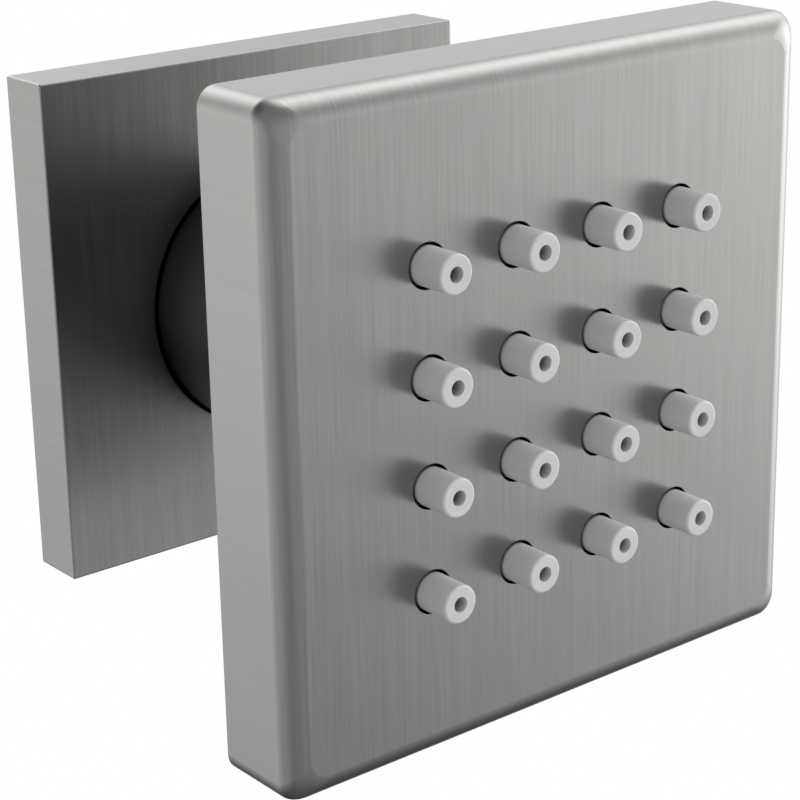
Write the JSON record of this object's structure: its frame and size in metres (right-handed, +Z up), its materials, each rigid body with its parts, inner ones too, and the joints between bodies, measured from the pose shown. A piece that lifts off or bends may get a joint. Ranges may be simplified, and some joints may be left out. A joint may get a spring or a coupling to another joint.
{
  "type": "shower body jet",
  "caption": "Square shower body spray: brushed metal head with a grid of soft nozzles on a ball swivel, over a square wall plate, fed by a pipe thread behind.",
  "frame": {"origin": "middle of the inlet's mouth, in the plane of the finished wall", "axes": "+Z up, +Y into the wall along the inlet, the head sprays towards -Y"},
  "size_m": [0.078, 0.0685, 0.078],
  "materials": {
    "brushed_nickel": "fine upright brushing",
    "back_nickel": "satin plated",
    "turned_nickel": "fine turned, dark plated",
    "bright_nickel": "polished",
    "stainless": "bright",
    "brass": "turned",
    "silicone": "soft matte",
    "black_rubber": "matte",
    "foam": "fine cells",
    "acetal": "moulded",
    "friction_plastic": "moulded",
    "screen_plastic": "moulded",
    "regulator_plastic": "moulded"
  },
  "bodies": {
    "fixture": {"wall_plate": "brushed_nickel", "wall_seal": "foam", "plate_o_ring": "black_rubber", "bell_housing": "turned_nickel", "inlet_body": "brass", "body_o_ring": "black_rubber", "inlet_screen": "screen_plastic", "flow_regulator": "regulator_plastic", "regulator_o_ring": "black_rubber", "disc_spring": "stainless", "rear_seat": "acetal", "ball_seal": "black_rubber"},
    "seat": {"front_seat": "acetal"},
    "friction_band": {"friction_ring": "friction_plastic"},
    "spray_head": {"swivel_ball": "bright_nickel", "stem_o_ring": "black_rubber", "back_plate": "back_nickel", "back_screws": "stainless", "chamber_seal": "black_rubber", "spray_plate": "acetal", "nozzle_mat": "silicone", "face_shell": "brushed_nickel"}
  },
  "joints": [
    {"name": "head_turn", "type": "hinge", "parent": "fixture", "child": "seat", "pos_m": [0, -0.035, 0], "axis": [0, -1, 0], "continuous": true},
    {"name": "head_tilt", "type": "hinge", "parent": "seat", "child": "friction_band", "pos_m": [0, -0.035, 0], "axis": [1, 0, 0], "range_deg": [-15, 15]},
    {"name": "head_pan", "type": "hinge", "parent": "friction_band", "child": "spray_head", "pos_m": [0, -0.035, 0], "axis": [0, 0, 1], "range_deg": [-15, 15]}
  ]
}
